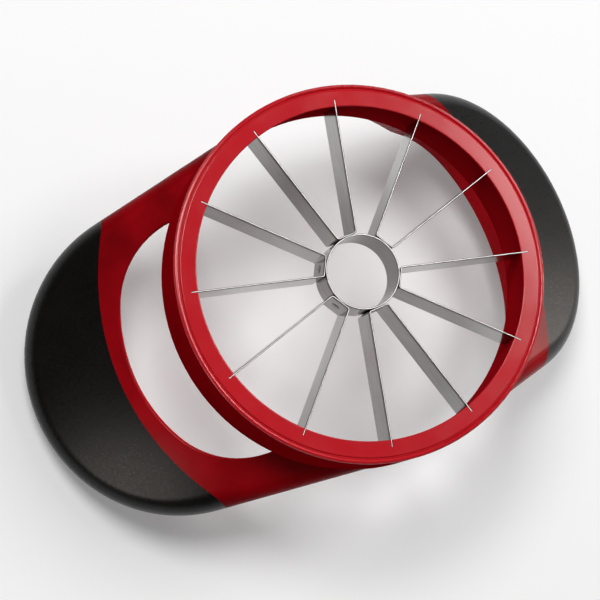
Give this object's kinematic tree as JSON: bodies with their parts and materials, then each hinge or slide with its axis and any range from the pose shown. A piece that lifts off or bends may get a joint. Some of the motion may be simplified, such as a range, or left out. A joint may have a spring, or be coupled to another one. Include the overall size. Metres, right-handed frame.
{
  "type": "apple slicer",
  "caption": "Hand-held apple slicer and corer: a round moulded frame with sloping loop handles and soft grips carries steel blades fanned round a core tube.",
  "frame": {"origin": "on the ring's axis, at the surface that the backs of the two handles rest on", "axes": "+X along the handles to the right grip, +Z along the ring's axis out of the cutting face; in use the slicer is turned over, so that +Z points down into the apple"},
  "size_m": [0.1962, 0.118, 0.0719],
  "materials": {
    "red_plastic": "gloss",
    "soft_grip": "matte",
    "blade_steel": "brushed"
  },
  "bodies": {
    "root": {"frame": "red_plastic", "blade_ring": "red_plastic", "left_grip": "soft_grip", "right_grip": "soft_grip", "core_tube": "blade_steel", "blade_pair_1": "blade_steel", "blade_pair_2": "blade_steel", "blade_pair_3": "blade_steel", "blade_pair_4": "blade_steel", "blade_pair_5": "blade_steel", "blade_pair_6": "blade_steel"}
  },
  "joints": []
}
